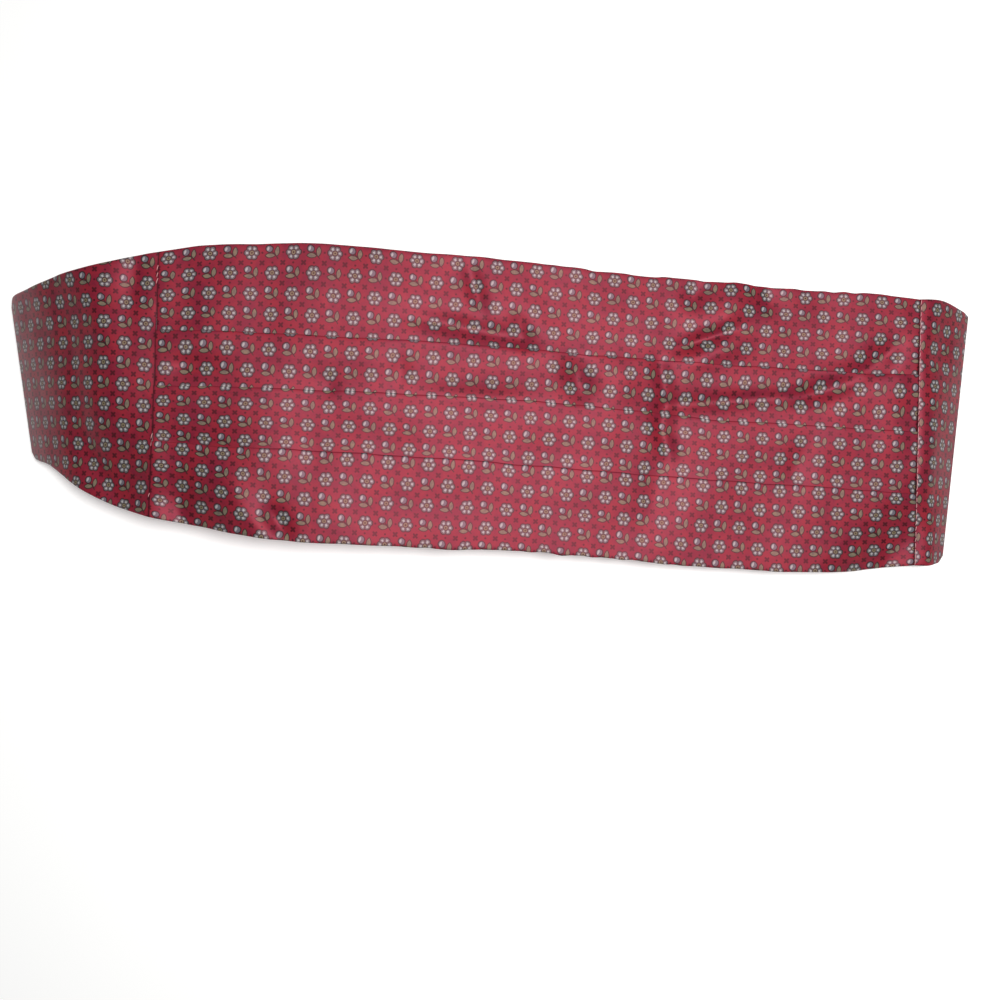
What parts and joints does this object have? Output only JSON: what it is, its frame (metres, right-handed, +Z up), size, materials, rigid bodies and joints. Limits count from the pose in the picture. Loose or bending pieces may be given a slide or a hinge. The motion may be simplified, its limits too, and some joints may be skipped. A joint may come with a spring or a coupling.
{
  "type": "cummerbund",
  "caption": "Pleated silk cummerbund fastened as a waist loop and lying on its back, with shaped ends folded under and a plain strap and slide clasp.",
  "frame": {"origin": "on the floor under the middle of the whole cummerbund as it lies", "axes": "+X along the pleated front towards its right end as seen from above, +Y towards its upper edge, +Z up, out of the front"},
  "size_m": [0.447, 0.1292, 0.0506],
  "materials": {
    "printed_silk": "silk twill with a soft sheen",
    "strap_webbing": "matt ribbed webbing",
    "clasp_metal": "satin plated"
  },
  "bodies": {
    "root": {"pleated_front": "printed_silk", "left_end": "printed_silk", "right_end": "printed_silk", "left_strap": "strap_webbing", "right_strap": "strap_webbing", "clasp": "clasp_metal"}
  },
  "joints": []
}
